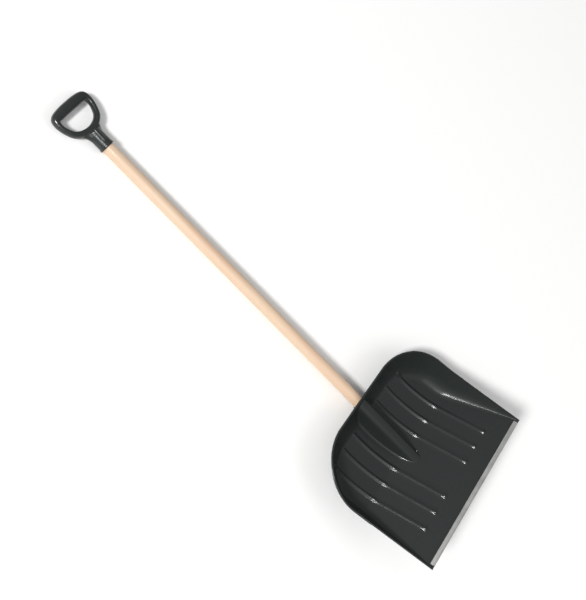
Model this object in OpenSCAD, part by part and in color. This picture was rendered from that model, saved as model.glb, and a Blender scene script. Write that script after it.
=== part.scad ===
// Snow shovel: a moulded scoop with a metal wear edge, a round wooden shaft
// and a D-grip. It lies on its back, scoop opening upwards: X across the
// blade, Y from the grip to the wear edge, Z up, origin on the floor under
// the middle of its box.
//
// Each piece is drawn in the shaft's own frame first: Y runs along the shaft
// axis from the mouth of the grip, Z stands square to the scoop's hollow.
// lay() then tips the whole tool until heel and grip touch the floor.

/* [Blade] */
// Width across the side walls
blade_w = 498; // [430:1:600]
// Bare shaft between the grip's mouth and the back edge of the blade
shaft_show = 881; // [650:1:1100]
// Back edge to the start of the upward curve of the floor
heel_run = 87; // [80:1:120]
// Length of the upward curve of the floor, along the shaft
dish_run = 110; // [85:1:135]
// Radius of the upward curve of the floor
dish_r = 250; // [200:1:320]
// Length of the flat front, from the bend line to the wear edge
front_l = 212; // [170:1:255]
// Rise of the flat front against the shaft
front_angle = 35.6; // [28:0.1:42]
// Floor at the heel, below the shaft axis
floor_drop = 33; // [28:0.5:45]
// Back edge of the blade, above the shaft axis
back_rise = 30; // [22:0.5:40]
// Rim of the side walls beside the heel, above the shaft axis
side_rise = 40.3; // [34:0.1:50]
// Rise of the rim over the flat front
rim_angle = 18.5; // [14:0.1:24]
// Radius of the two rear corners, seen from above
corner_r = 140; // [110:1:170]
// How far the side walls lean outwards
side_lean = 26; // [20:1:32]
// How far the back wall leans outwards
back_lean = 35; // [28:1:40]
// Softness of the crease between floor and walls
crease = 34; // [18:1:40]
// Wall of the moulding
wall = 3.5; // [2.5:0.1:5]
// Wall along the rim
rim_wall = 5; // [3.5:0.1:7]

/* [Ribs] */
// Ribs on each side of the socket
rib_count = 3; // [1:1:3]
// First rib, from the middle of the blade
rib_first = 58.2; // [50:0.1:64]
// Distance from rib to rib
rib_pitch = 52.2; // [40:0.1:54]
// Width of a rib at its foot
rib_w = 16; // [8:0.5:18]
// Width of a rib along its top
rib_top = 4; // [2:0.5:7]
// Height of a rib
rib_h = 4; // [2:0.5:6]
// Rear ends of the ribs, behind the bend line
rib_back = 131; // [90:1:134]
// Front ends of the ribs, ahead of the bend line along the flat front
rib_front = 156; // [80:1:160]

/* [Socket] */
// Wall of the tube that holds the shaft
socket_wall = 2.5; // [2:0.1:4]
// Depth of the socket past the bend line
socket_past = 42; // [30:1:50]
// Thickness of its closed end
socket_end = 6; // [4:0.5:10]
// Cross webs under the shaft
web_count = 5; // [3:1:7]
// Thickness of a cross web
web_t = 4; // [2:0.5:6]

/* [Wear edge] */
// Width of the strip on each face
strip_w = 12; // [10:0.5:22]
// Sheet thickness of the strip
strip_gauge = 1.2; // [0.8:0.1:1.4]
// How far the strip stands proud of the moulding
strip_proud = 0.4; // [0.2:0.1:0.8]
// Bare corner beyond each end of the strip
strip_tab = 12; // [8:0.5:25]

/* [Shaft] */
// Diameter of the wooden shaft
shaft_d = 32; // [26:0.5:38]
// Chamfer of its two ends
shaft_chamfer = 1.5; // [0.5:0.5:3]

/* [Grip] */
// Width of the grip
grip_w = 124; // [105:1:150]
// Mouth of the grip to the crown of its bar
grip_l = 144; // [130:1:170]
// Diameter of the bar
bar_d = 28; // [24:0.5:34]
// Width of an arm
arm_w = 14; // [11:0.5:18]
// Thickness of an arm
arm_t = 20; // [16:0.5:26]
// Mouth of the grip to the middle of its yoke
yoke_l = 57; // [54:0.5:70]
// Wall of the grip's socket
grip_wall = 2.5; // [2:0.1:4]
// Lip around the mouth, beyond the socket wall
lip_rise = 1.2; // [0.6:0.1:2]
// Length of that lip
lip_l = 5; // [3:0.5:8]
// Depth of the grip's socket
grip_depth = 46; // [35:1:50]

/* [Screws] */
// Diameter of both screws
screw_d = 5; // [4:0.5:6]
// Diameter of their heads
head_d = 9.5; // [8:0.5:12]
// Length of both screws below the head
screw_l = 24; // [16:1:28]

/* [Fits] */
// Play between a bore and what sits in it, on the radius
play = 0.15; // [0.05:0.05:0.3]

/* [Hidden] */

polymer = "#2e3231";
timber = "#f0d2ae";
alloy = "#b9bec0";
steel = "#8d9194";

// Scoop, seen from above: half width, back edge and bend line of its inner face
half_in = blade_w / 2 - rim_wall * cos(side_lean);
back_in = shaft_show + rim_wall * cos(back_lean);
turn_r = corner_r - rim_wall * cos(side_lean);
turn_x = half_in - turn_r;
turn_y = back_in + turn_r;
dish_y = shaft_show + heel_run;
bend_y = dish_y + dish_run;
bend_z = -floor_drop + dish_r - sqrt(dish_r * dish_r - dish_run * dish_run);
front_y = bend_y + front_l * cos(front_angle);
front_z = bend_z + front_l * sin(front_angle);
rim_knee = bend_y - 28;
rim_knee_z = side_rise + 9.7;

// Socket tube
tube_r = shaft_d / 2 + play + socket_wall;
tube_end = bend_y + socket_past + socket_end;

// Grip
bar_r = bar_d / 2;
bar_y = grip_l - bar_r;
arm_x = grip_w / 2 - arm_w / 2;
hub_r = shaft_d / 2 + play + grip_wall;
lip_r = hub_r + lip_rise;

// Shaft
shaft_back = -grip_depth + 1;
shaft_front = bend_y + socket_past - 1;

// Laying down: the heel's flat and the lip of the grip share the floor
heel_shave = 0.4;
heel_y = dish_y - 3;
heel_drop = floor_drop + wall - heel_shave;
lie_tilt = atan((heel_drop - lip_r) / (heel_y + lip_l));
lie_rise = lip_r * cos(lie_tilt) + lip_l * sin(lie_tilt);
far_y = (front_y + wall * sin(front_angle)) * cos(lie_tilt)
    - (front_z - wall * cos(front_angle)) * sin(lie_tilt);
near_y = -bar_y * cos(lie_tilt) - bar_r;
lie_shift = (far_y + near_y) / 2;

module lay() {
    translate([0, -lie_shift, lie_rise]) rotate([lie_tilt, 0, 0]) children();
}

// Frame of the flat front: Y up the slope from the bend line, Z square to it
module on_front() {
    translate([0, bend_y, bend_z]) rotate([front_angle, 0, 0]) children();
}

// A cylinder along the shaft axis, from y0 to y1
module along(y0, y1, r, r_end = -1) {
    translate([0, y0, 0]) rotate([-90, 0, 0])
        cylinder(h = y1 - y0, r1 = r, r2 = r_end < 0 ? r : r_end, $fn = 96);
}

// ---- Surface of the scoop ----

// The larger of two heights, with a soft crease of size k
function soft_max(a, b, k) =
    let (h = max(k - abs(a - b), 0)) max(a, b) + h * h / (4 * k);

// Height of the floor: flat heel, curve, straight front
function floor_z(y) =
    y < dish_y ? -floor_drop
    : y < bend_y ? -floor_drop + dish_r - sqrt(dish_r * dish_r - pow(y - dish_y, 2))
    : bend_z + (y - bend_y) * tan(front_angle);

// Angle round a rear corner: 0 at the back edge, 90 along the sides
function turn(x, y) =
    y >= turn_y ? 90
    : x <= turn_x ? 0
    : atan2(x - turn_x, turn_y - y);

// Distance in from the rim, seen from above
function inset(x, y) =
    y >= turn_y ? half_in - x
    : x <= turn_x ? y - back_in
    : turn_r - norm([x - turn_x, turn_y - y]);

// Height of the rim beside a point
function rim_z(x, y) =
    soft_max(
        back_rise + (side_rise - back_rise) * sin(min(90, 1.35 * turn(x, y))),
        rim_knee_z + (y - rim_knee) * tan(rim_angle),
        8);

// Height of the inner face
function scoop_z(x, y) =
    let (ax = abs(x),
         a = turn(ax, y),
         lean = back_lean + (side_lean - back_lean) * a / 90,
         top = rim_z(ax, y),
         base = floor_z(y),
         soft = max(0.5, min(crease, 0.55 * (top - base))))
    soft_max(base, top - inset(ax, y) / tan(lean), soft);

// Upward normal of the inner face
function scoop_n(x, y) =
    let (e = 0.05,
         gx = (scoop_z(x + e, y) - scoop_z(x - e, y)) / (2 * e),
         gy = (scoop_z(x, y + e) - scoop_z(x, y - e)) / (2 * e),
         v = [-gx, -gy, 1])
    v / norm(v);

// Grid of the scoop: plain columns and rows, drawn in round the rear corners
hold = 0.55;
function drawn_in(x, y) =
    let (p = (abs(x) - turn_x) / turn_r,
         q = (turn_y - y) / turn_r,
         m = max(p, q))
    p <= 0 || q <= 0 || m <= hold ? [x, y]
    : let (g = (m - hold) / (1 - hold),
           s = 1 + g * (m / norm([p, q]) - 1))
      [sign(x) * (turn_x + turn_r * p * s), turn_y - turn_r * q * s];

rib_x = [for (k = [0 : rib_count - 1]) rib_first + k * rib_pitch];
rib_edge = rib_x[rib_count - 1] + rib_w / 2;
col_half = concat(
    [tube_r * 0.5, tube_r + 5],
    [for (x = rib_x) each [x - rib_w / 2, x - rib_top / 2, x + rib_top / 2, x + rib_w / 2]],
    [for (k = [1 : 9]) rib_edge + (half_in - rib_edge) * sin(k * 10)]);
cols = concat([for (k = [len(col_half) - 1 : -1 : 0]) -col_half[k]], [0], col_half);

ramp = 8;
rib_y0 = bend_y - rib_back;
rib_y1 = bend_y + min(rib_front, front_l - strip_w - 4) * cos(front_angle);
rows = concat(
    [for (k = [0 : 8]) back_in + (rib_y0 - ramp - back_in) * (1 - cos(k * 10)) / (1 - cos(80))],
    [rib_y0],
    [for (k = [1 : 9]) rib_y0 + (bend_y - rib_y0) * k / 9],
    [for (k = [1 : 4]) bend_y + (rib_y1 - ramp - bend_y) * k / 4],
    [rib_y1],
    [for (k = [1 : 2]) rib_y1 + (front_y - rib_y1) * k / 2]);

function rib_across(x) =
    max([for (c = rib_x)
        min(1, max(0, (rib_w / 2 - abs(abs(x) - c)) / (rib_w / 2 - rib_top / 2)))]);
function rib_along(y) = min(1, max(0, min((y - rib_y0 + ramp) / ramp, (rib_y1 - y) / ramp)));

function inner_pt(x, y) =
    let (d = drawn_in(x, y))
    [d[0], d[1], scoop_z(d[0], d[1])]
        + scoop_n(d[0], d[1]) * rib_h * rib_across(x) * rib_along(y);
function outer_pt(x, y) =
    let (d = drawn_in(x, y),
         rim = max(0, 1 - inset(abs(d[0]), d[1]) / 6) * (y > bend_y ? 0.4 : 1),
         t = wall + (rim_wall - wall) * rim - 0.8 * rib_h * rib_across(x) * rib_along(y))
    [d[0], d[1], scoop_z(d[0], d[1])] - scoop_n(d[0], d[1]) * t;

module scoop_shell() {
    nc = len(cols);
    nr = len(rows);
    under = nc * nr;
    pts = concat([for (y = rows) for (x = cols) inner_pt(x, y)],
                 [for (y = rows) for (x = cols) outer_pt(x, y)]);
    skin = [for (j = [0 : nr - 2]) for (i = [0 : nc - 2])
        let (a = j * nc + i, b = a + 1, c = a + nc + 1, d = a + nc)
        each [[a, d, c], [a, c, b], [under + a, under + c, under + d], [under + a, under + b, under + c]]];
    ring = concat([for (i = [0 : nc - 1]) i],
                  [for (j = [1 : nr - 1]) j * nc + nc - 1],
                  [for (i = [nc - 2 : -1 : 0]) (nr - 1) * nc + i],
                  [for (j = [nr - 2 : -1 : 1]) j * nc]);
    n = len(ring);
    edge = [for (k = [0 : n - 1])
        let (a = ring[k], b = ring[(k + 1) % n])
        each [[a, b, under + b], [a, under + b, under + a]]];
    polyhedron(points = pts, faces = concat(skin, edge), convexity = 8);
}

// ---- Blade ----

// Block that ties the front end of the tube to the underside of the flat front
module gusset() {
    rise = tan(front_angle);
    mid_z = bend_z - wall / 2;
    rotate([90, 0, 90]) translate([0, 0, -tube_r])
        linear_extrude(2 * tube_r)
            polygon([
                [bend_y - mid_z / rise, 0],
                [tube_end, 0],
                [tube_end, mid_z + (tube_end - bend_y) * rise]]);
}

// Block between the shaft tube and the floor of the heel, down to mid wall
module saddle() {
    y0 = back_in + back_rise * tan(back_lean);
    y1 = bend_y - 26;
    steps = 14;
    rotate([90, 0, 90]) translate([0, 0, -tube_r])
        linear_extrude(2 * tube_r)
            polygon(concat(
                [[y1, 0]],
                [for (k = [0 : steps])
                    let (y = y0 + (y1 - y0) * k / steps) [y, scoop_z(0, y) - wall / 2]]));
}

// Pockets cored out of the saddle from below, between the webs
module pockets() {
    y0 = back_in + 46;
    y1 = bend_y - 40;
    step = (y1 - y0 + web_t) / web_count;
    for (k = [0 : web_count - 1])
        translate([-tube_r + 5, y0 + k * step, -2 * floor_drop])
            cube([2 * tube_r - 10, step - web_t, 2 * floor_drop - 2]);
}

// Room for the wear edge: both faces and the nose of the flat front
rebate = strip_gauge - strip_proud;
tongue_l = front_l - strip_w;
strip_half = blade_w / 2 - strip_tab;

module strip_room() {
    reach = strip_w + 10;
    on_front() translate([-strip_half, tongue_l, 0]) {
        translate([0, 0, -rebate]) cube([2 * strip_half, reach, 20]);
        translate([0, 0, -20 - wall + rebate]) cube([2 * strip_half, reach, 20]);
        translate([0, strip_w - rebate, -20]) cube([2 * strip_half, 10, 40]);
    }
}

module blade() {
    color(polymer)
    difference() {
        union() {
            scoop_shell();
            along(back_in + 9, tube_end, tube_r);
            saddle();
            gusset();
        }
        along(back_in - 20, bend_y + socket_past, shaft_d / 2 + play);
        pockets();
        strip_room();
        screw_hole(blade_screw_y, tube_r);
        lay_floor_cut();
    }
}

// Everything below the floor line of the laid tool
module lay_floor_cut() {
    rotate([-lie_tilt, 0, 0]) translate([-blade_w, heel_y - 100, -lie_rise - 20])
        cube([2 * blade_w, 200, 20]);
}

// ---- Wear edge: one strip of sheet folded over the front ----

module wear_edge() {
    outer_t = wall + 2 * strip_proud;
    color(alloy)
    on_front() rotate([90, 0, 90]) translate([0, 0, -strip_half + play])
        linear_extrude(2 * (strip_half - play))
            difference() {
                union() {
                    translate([tongue_l + play, -wall - strip_proud])
                        square([strip_w - play - outer_t / 2 + strip_proud, outer_t]);
                    translate([front_l + strip_proud - outer_t / 2, -wall / 2])
                        circle(d = outer_t, $fn = 48);
                }
                translate([tongue_l - 1, -wall - strip_proud + strip_gauge])
                    square([strip_w + 1 - rebate, outer_t - 2 * strip_gauge]);
            }
}

// ---- Shaft ----

module shaft() {
    r = shaft_d / 2;
    c = shaft_chamfer;
    color(timber)
    difference() {
        union() {
            along(shaft_back, shaft_back + c, r - c, r);
            along(shaft_back + c, shaft_front - c, r);
            along(shaft_front - c, shaft_front, r, r - c);
        }
        screw_hole(blade_screw_y, tube_r);
        screw_hole(grip_screw_y, hub_r);
    }
}

// ---- Screws: countersunk, driven in from the back of the tool ----

blade_screw_y = bend_y + 16;
grip_screw_y = -grip_depth / 2;
sink = (head_d - screw_d) / 2;
face_off = 0.3;

// Axis frame of a screw at y: Z runs from the head into the shaft
module screw_frame(y, surface_r) {
    translate([0, y, -surface_r + face_off]) children();
}

module screw_hole(y, surface_r) {
    screw_frame(y, surface_r) {
        translate([0, 0, -4]) cylinder(h = 4, d = head_d + 0.2, $fn = 48);
        cylinder(h = sink, d1 = head_d + 0.2, d2 = screw_d + 0.2, $fn = 48);
        cylinder(h = screw_l + 0.5, d = screw_d + 0.1, $fn = 48);
    }
}

module wood_screw(y, surface_r) {
    slot = head_d * 0.62;
    point = screw_d * 1.1;
    color(steel)
    screw_frame(y, surface_r)
        difference() {
            union() {
                cylinder(h = sink, d1 = head_d, d2 = screw_d, $fn = 48);
                cylinder(h = screw_l - point, d = screw_d, $fn = 48);
                translate([0, 0, screw_l - point])
                    cylinder(h = point, d1 = screw_d, d2 = 0.6, $fn = 48);
            }
            for (a = [0, 90]) rotate(a)
                translate([-slot / 2, -0.6, -1]) cube([slot, 1.2, 1 + sink * 0.75]);
        }
}

module blade_screw() { wood_screw(blade_screw_y, tube_r); }
module grip_screw() { wood_screw(grip_screw_y, hub_r); }

// ---- Grip ----

// Centre line of the loop from the middle of the bar down the right arm to
// the yoke: [x, y, half width in the plane of the loop, half thickness]
function drop(t) = -yoke_l - (bar_y - yoke_l) * t;
arm_a = arm_w / 2;
arm_h = arm_t / 2;
half_loop = [
    [0, -bar_y, bar_r, bar_r],
    [0.45 * arm_x, -bar_y + 0.4, bar_r - 0.4, bar_r - 0.4],
    [0.84 * arm_x, -bar_y + 2.6, bar_r - 2.4, bar_r - 1.6],
    [arm_x - 1.6, drop(0.84), arm_a + 1.6, arm_h + 1],
    [arm_x - 0.8, drop(0.64), arm_a, arm_h],
    [0.9 * arm_x, drop(0.42), arm_a, arm_h],
    [0.73 * arm_x, drop(0.2), arm_a + 0.8, arm_h + 0.5],
    [0.42 * arm_x, drop(0.055), arm_a + 1.5, arm_h + 1.5],
    [0, drop(0), arm_a + 1.5, arm_h + 2.5]];
loop = concat(
    half_loop,
    [for (k = [len(half_loop) - 2 : -1 : 1])
        let (p = half_loop[k]) [-p[0], p[1], p[2], p[3]]]);

// Smooth curve through the four points p at t, between p[1] and p[2]
function through(p, t) =
    0.5 * (2 * p[1] + t * (p[2] - p[0])
        + t * t * (2 * p[0] - 5 * p[1] + 4 * p[2] - p[3])
        + t * t * t * (3 * p[1] - p[0] - 3 * p[2] + p[3]));

loop_steps = 4;
loop_sides = 20;
function squarish(v, e) = sign(v) * pow(abs(v), e);

module loop_body() {
    n = len(loop);
    path = [for (i = [0 : n - 1]) for (s = [0 : loop_steps - 1])
        through([for (k = [-1 : 2]) loop[(i + k + n) % n]], s / loop_steps)];
    m = len(path);
    pts = [for (i = [0 : m - 1])
        let (a = path[(i + m - 1) % m],
             b = path[(i + 1) % m],
             d = [b[0] - a[0], b[1] - a[1]] / norm([b[0] - a[0], b[1] - a[1]]),
             c = path[i])
        for (k = [0 : loop_sides - 1])
            let (w = c[2] * squarish(cos(k * 360 / loop_sides), 0.85),
                 h = c[3] * squarish(sin(k * 360 / loop_sides), 0.85))
            [c[0] - d[1] * w, c[1] + d[0] * w, h]];
    faces = [for (i = [0 : m - 1]) for (k = [0 : loop_sides - 1])
        let (i2 = (i + 1) % m, k2 = (k + 1) % loop_sides,
             a = i * loop_sides + k, b = i * loop_sides + k2,
             c = i2 * loop_sides + k2, d = i2 * loop_sides + k)
        each [[a, c, b], [a, d, c]]];
    polyhedron(points = pts, faces = faces, convexity = 6);
}

// Flare from the loop into the round socket
yoke_rows = 8;
yoke_sides = 32;
module yoke() {
    y0 = -yoke_l - 4;
    y1 = -22;
    r1 = hub_r - 0.2;
    pts = [for (j = [0 : yoke_rows])
        let (t = j / yoke_rows,
             w = r1 + (0.66 * arm_x - r1) * pow(1 - t, 2.2),
             h = arm_h + 2 + (r1 - arm_h - 2) * pow(t, 1.2))
        for (k = [0 : yoke_sides - 1])
            [w * cos(k * 360 / yoke_sides), y0 + (y1 - y0) * t, h * sin(k * 360 / yoke_sides)]];
    sides = [for (j = [0 : yoke_rows - 1]) for (k = [0 : yoke_sides - 1])
        let (k2 = (k + 1) % yoke_sides,
             a = j * yoke_sides + k, b = j * yoke_sides + k2,
             c = (j + 1) * yoke_sides + k2, d = (j + 1) * yoke_sides + k)
        each [[a, b, c], [a, c, d]]];
    ends = [[for (k = [yoke_sides - 1 : -1 : 0]) k],
            [for (k = [0 : yoke_sides - 1]) yoke_rows * yoke_sides + k]];
    polyhedron(points = pts, faces = concat(sides, ends), convexity = 4);
}

module grip() {
    color(polymer)
    difference() {
        union() {
            loop_body();
            yoke();
            along(-grip_depth - 2, 0, hub_r);
            along(-lip_l - 3, -lip_l, hub_r, lip_r);
            along(-lip_l, 0, lip_r);
            translate([-3.5, -grip_depth - 6, hub_r - 4]) cube([7, grip_depth - 8, 5]);
        }
        along(-grip_depth, 1, shaft_d / 2 + play);
        screw_hole(grip_screw_y, hub_r);
    }
}

lay() blade();
lay() wear_edge();
lay() shaft();
lay() grip();
lay() blade_screw();
lay() grip_screw();
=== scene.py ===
import math
import bpy
import bmesh
import numpy as np
from mathutils import Matrix, Vector


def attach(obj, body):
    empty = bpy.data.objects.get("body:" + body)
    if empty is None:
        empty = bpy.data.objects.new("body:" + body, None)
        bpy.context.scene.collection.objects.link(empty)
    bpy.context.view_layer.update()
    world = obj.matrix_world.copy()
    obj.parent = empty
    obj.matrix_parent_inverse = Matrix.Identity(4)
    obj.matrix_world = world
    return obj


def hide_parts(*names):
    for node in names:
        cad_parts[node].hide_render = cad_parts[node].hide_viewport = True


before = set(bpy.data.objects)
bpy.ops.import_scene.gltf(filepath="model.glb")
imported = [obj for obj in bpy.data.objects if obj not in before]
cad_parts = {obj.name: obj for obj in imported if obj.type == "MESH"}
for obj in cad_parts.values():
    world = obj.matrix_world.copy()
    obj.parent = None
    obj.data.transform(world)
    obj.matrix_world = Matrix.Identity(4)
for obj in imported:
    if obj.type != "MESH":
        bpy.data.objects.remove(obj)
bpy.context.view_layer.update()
print("frame loaded:", ", ".join(sorted(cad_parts)))

# Every size below is in millimetres and every angle in degrees. The tool is
# drawn along its shaft: X across, Y from the grip's mouth to the wear edge,
# Z square to the hollow. lay then tips it down and turns it into metres.
mm = 0.001

tool = {
    "shaftDiameter": 32.0,
    "bareShaft": 881.0,  # between the grip's mouth and the back edge
    "play": 0.15,  # on the radius, between a bore and what sits in it
    "tubeWall": 2.5,  # of both sockets
    "lipRise": 1.2,
    "lipLength": 5.0,
    "gripLength": 144.0,
    "barDiameter": 28.0,
}

scoop = {
    "width": 498.0,
    "heelRun": 87.0,
    "dishRun": 110.0,
    "dishRadius": 250.0,
    "frontLength": 212.0,
    "frontAngle": 35.6,
    "bendSoftness": 1.2,
    "floorDrop": 33.0,
    "backRise": 30.0,
    "sideRise": 40.3,
    "riseTurn": 1.35,  # how soon the rim has risen, on its way round the corner
    "kneeRise": 9.7,  # of the rim above the side walls, where it starts to climb
    "kneeBack": 28.0,  # from there to the bend
    "rimAngle": 18.5,
    "rimSoftness": 8.0,
    "cornerRadius": 140.0,
    "sideLean": 26.0,
    "backLean": 35.0,
    "crease": 34.0,
    "wall": 3.5,
    "rimWall": 5.0,
    "rimBand": 6.0,
    "frontBand": 0.4,  # share of the rim's extra thickness that is left ahead of the bend
    "rimRound": 1.3,
}

boreRadius = tool["shaftDiameter"] / 2 + tool["play"]
tubeRadius = boreRadius + tool["tubeWall"]
lipRadius = tubeRadius + tool["lipRise"]
barRadius = tool["barDiameter"] / 2
barY = tool["gripLength"] - barRadius

sideLean = math.radians(scoop["sideLean"])
backLean = math.radians(scoop["backLean"])
frontAngle = math.radians(scoop["frontAngle"])
frontSlope = math.tan(frontAngle)
halfIn = scoop["width"] / 2 - scoop["rimWall"] * math.cos(sideLean)
backIn = tool["bareShaft"] + scoop["rimWall"] * math.cos(backLean)
turnRadius = scoop["cornerRadius"] - scoop["rimWall"] * math.cos(sideLean)
turnX = halfIn - turnRadius
turnY = backIn + turnRadius
dishY = tool["bareShaft"] + scoop["heelRun"]
bendY = dishY + scoop["dishRun"]
dishDepth = math.sqrt(scoop["dishRadius"] ** 2 - scoop["dishRun"] ** 2)
bendZ = scoop["dishRadius"] - scoop["floorDrop"] - dishDepth
frontY = bendY + scoop["frontLength"] * math.cos(frontAngle)
frontZ = bendZ + scoop["frontLength"] * math.sin(frontAngle)

# The flat of the heel and the lip of the grip share the floor
heelShave = 0.4
heelDrop = scoop["floorDrop"] + scoop["wall"] - heelShave
lieTilt = math.atan((heelDrop - lipRadius) / (dishY - 3 + tool["lipLength"]))
lieRise = lipRadius * math.cos(lieTilt) + tool["lipLength"] * math.sin(lieTilt)
farY = ((frontY + scoop["wall"] * math.sin(frontAngle)) * math.cos(lieTilt)
        - (frontZ - scoop["wall"] * math.cos(frontAngle)) * math.sin(lieTilt))
lieShift = (farY - barY * math.cos(lieTilt) - barRadius) / 2
layTurn = Matrix.Rotation(lieTilt, 4, "X")
layMove = Vector((0, -lieShift, lieRise))
lay = Matrix.Scale(mm, 4) @ Matrix.Translation(layMove) @ layTurn
print("laid down:", round(math.degrees(lieTilt), 3), "degrees, rise", round(lieRise, 2), "mm")


def linear(hexColour):  # sRGB hex to the linear colour that nodes take
    parts = [int(hexColour[i:i + 2], 16) / 255 for i in (1, 3, 5)]
    return tuple(v / 12.92 if v <= 0.04045 else ((v + 0.055) / 1.055) ** 2.4 for v in parts) + (1.0,)


def feed(tree, node, feeds):  # a socket is linked, anything else is set
    for name, value in feeds.items():
        if isinstance(value, bpy.types.NodeSocket):
            tree.links.new(value, node.inputs[name])
        else:
            node.inputs[name].default_value = value


def addNode(tree, kind, feeds=None, stops=None, **settings):
    made = tree.nodes.new(kind)
    for name, value in settings.items():
        setattr(made, name, value)
    feed(tree, made, feeds or {})
    if stops:
        elements = made.color_ramp.elements
        while len(elements) < len(stops):
            elements.new(1.0)
        for element, (place, colour) in zip(elements, stops):
            element.position = place
            element.color = linear(colour)
    return made


def newMaterial(name):
    made = bpy.data.materials.new(name)
    made.use_nodes = True
    tree = made.node_tree
    shader = tree.nodes["Principled BSDF"]
    # Object coordinates turned back along the shaft, in millimetres
    place = addNode(tree, "ShaderNodeTexCoord").outputs["Object"]
    spot = addNode(tree, "ShaderNodeMapping", {
        "Vector": place,
        "Location": -(layTurn.inverted() @ layMove),
        "Rotation": (-lieTilt, 0, 0),
        "Scale": (1000, 1000, 1000)}).outputs["Vector"]
    return made, tree, shader, spot


def newTree(name, sockets):  # a geometry tree with named inputs
    tree = bpy.data.node_groups.new(name, "GeometryNodeTree")
    tree.interface.new_socket("Geometry", in_out="OUTPUT", socket_type="NodeSocketGeometry")
    tree.interface.new_socket("Geometry", in_out="INPUT", socket_type="NodeSocketGeometry")
    for socket, kind in sockets.items():
        tree.interface.new_socket(socket, in_out="INPUT", socket_type="NodeSocket" + kind)
    given = {value.name: value for value in addNode(tree, "NodeGroupInput").outputs}
    return tree, given, addNode(tree, "NodeGroupOutput")


def workOut(tree, known, steps):  # a chain of sums, each from values known by name or from numbers
    for name, operation, *terms in steps:
        feeds = {place: known.get(term, term) for place, term in enumerate(terms)}
        known[name] = addNode(tree, "ShaderNodeMath", feeds, operation=operation).outputs[0]


def closeTree(tree, geometry, material, out):
    real = addNode(tree, "GeometryNodeRealizeInstances", {"Geometry": geometry}).outputs[0]
    dressed = addNode(tree, "GeometryNodeSetMaterial", {"Geometry": real, "Material": material})
    tree.links.new(dressed.outputs[0], out.inputs[0])


def runTree(piece, tree, values):
    modifier = piece.modifiers.new(tree.name, "NODES")
    modifier.node_group = tree
    for item in tree.interface.items_tree:
        if item.in_out == "INPUT" and item.name in values:
            modifier[item.identifier] = values[item.name]
    settle(piece)


def settle(piece):  # live modifiers become the piece's own mesh
    bpy.context.view_layer.update()
    seen = piece.evaluated_get(bpy.context.evaluated_depsgraph_get())
    finished = bpy.data.meshes.new_from_object(seen)
    finished.name = piece.name
    old = piece.data
    piece.modifiers.clear()
    piece.data = finished
    bpy.data.meshes.remove(old)


def linkObject(name, data):
    made = bpy.data.objects.new(name, data)
    bpy.context.scene.collection.objects.link(made)
    return made


def weld(mesh):  # joins what touches and turns every face outward
    form = bmesh.new()
    form.from_mesh(mesh)
    bmesh.ops.remove_doubles(form, verts=form.verts, dist=0.0005)
    bmesh.ops.recalc_face_normals(form, faces=form.faces)
    form.to_mesh(mesh)
    form.free()


def newPiece(name, points, faces, material=None):
    mesh = bpy.data.meshes.new(name)
    mesh.from_pydata([tuple(p) for p in points], [], faces)
    mesh.validate()
    weld(mesh)
    if material:
        mesh.materials.append(material)
    return linkObject(name, mesh)


def treePiece(name, tree, values, material):  # the tree makes it all, the triangle only carries it
    piece = newPiece(name, [(0, 0, 0), (1, 0, 0), (0, 1, 0)], [(0, 1, 2)], material)
    runTree(piece, tree, {**values, "Material": material})
    return piece


def tubeFaces(rings, sides):  # a skin over rings of points, closed at both ends
    faces = [(j * sides + k, j * sides + (k + 1) % sides,
              (j + 1) * sides + (k + 1) % sides, (j + 1) * sides + k)
             for j in range(rings - 1) for k in range(sides)]
    faces.append(tuple(range(sides)))
    faces.append(tuple((rings - 1) * sides + k for k in range(sides)))
    return faces


def tubePiece(name, stations, sides=96):  # rings of (y, radius) about the shaft axis
    angles = np.arange(sides) * 2 * math.pi / sides
    points = [(r * math.sin(a), y, r * math.cos(a)) for y, r in stations for a in angles]
    return newPiece(name, points, tubeFaces(len(stations), sides))


def cut(piece, *cutters):
    for cutter in cutters:
        modifier = piece.modifiers.new(cutter.name, "BOOLEAN")
        modifier.operation = "DIFFERENCE"
        modifier.solver = "FAST"  # leaves the faces that it doesn't cut, so the shading stays even
        modifier.object = cutter
        settle(piece)
        bpy.data.meshes.remove(cutter.data)


def finish(piece, node, sharpAngle=38.0):
    piece.data.transform(lay)
    piece.data.shade_smooth()
    piece.data.set_sharp_from_angle(angle=math.radians(sharpAngle))
    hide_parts(node)
    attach(piece, "root")
    print("made", piece.name, "with", len(piece.data.polygons), "faces")


# Injection-moulded polypropylene, near black, straight from a polished mould.
# The eye gets a dark, faintly green satin: soft wide highlights, a slight
# orange peel, and dull hairline scuffs that run the way the tool is pushed.
blackPlastic = {
    "body": "#262a29",
    "worn": "#383c3b",
    "roughness": (0.24, 0.30),
    "specularLevel": 0.46,  # the moulded grain takes a little of the mirror-like part away
    "peelSize": 5.0,  # moulded grain is near 0.5 mm, drawn ten times coarser so that it shows
    "peelDepth": 0.02,
    "scuffLength": 45.0,
    "scuffWidth": 1.6,
}


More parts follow.
